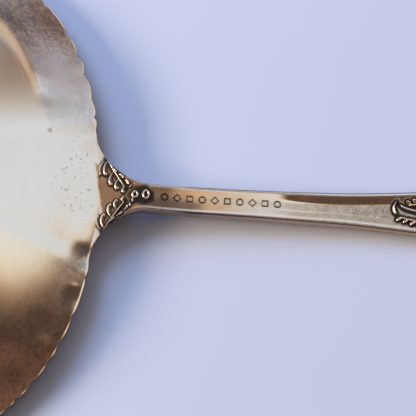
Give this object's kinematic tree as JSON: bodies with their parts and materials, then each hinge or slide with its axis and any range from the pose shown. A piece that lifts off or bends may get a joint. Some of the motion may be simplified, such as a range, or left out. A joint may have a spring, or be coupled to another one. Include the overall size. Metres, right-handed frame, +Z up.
{
  "type": "serving spoon",
  "caption": "Serving spoon with a broad scalloped bowl and a slender threaded handle with leaf ornament, for lifting and serving fruit or vegetables.",
  "frame": {"origin": "middle of the spoon's length and width, on the table that it lies on", "axes": "+X along the spoon from the bowl to the end of the handle, +Z up from the table through the back of the bowl, +Y to the far side in the picture"},
  "size_m": [0.1915, 0.0792, 0.0163],
  "materials": {
    "bowl_silver": "satin worn silver with fine scratches, pits and warm tarnish towards the rim",
    "handle_silver": "worn silver, bright on the threads and brown in the hollow",
    "leaf_silver": "polished silver ridges with oxidised dark recesses"
  },
  "bodies": {
    "root": {"bowl": "bowl_silver", "handle": "handle_silver", "shoulder_leaf_left": "leaf_silver", "shoulder_leaf_right": "leaf_silver", "neck_husk": "leaf_silver", "back_leaf": "leaf_silver", "front_leaf": "leaf_silver"}
  },
  "joints": []
}
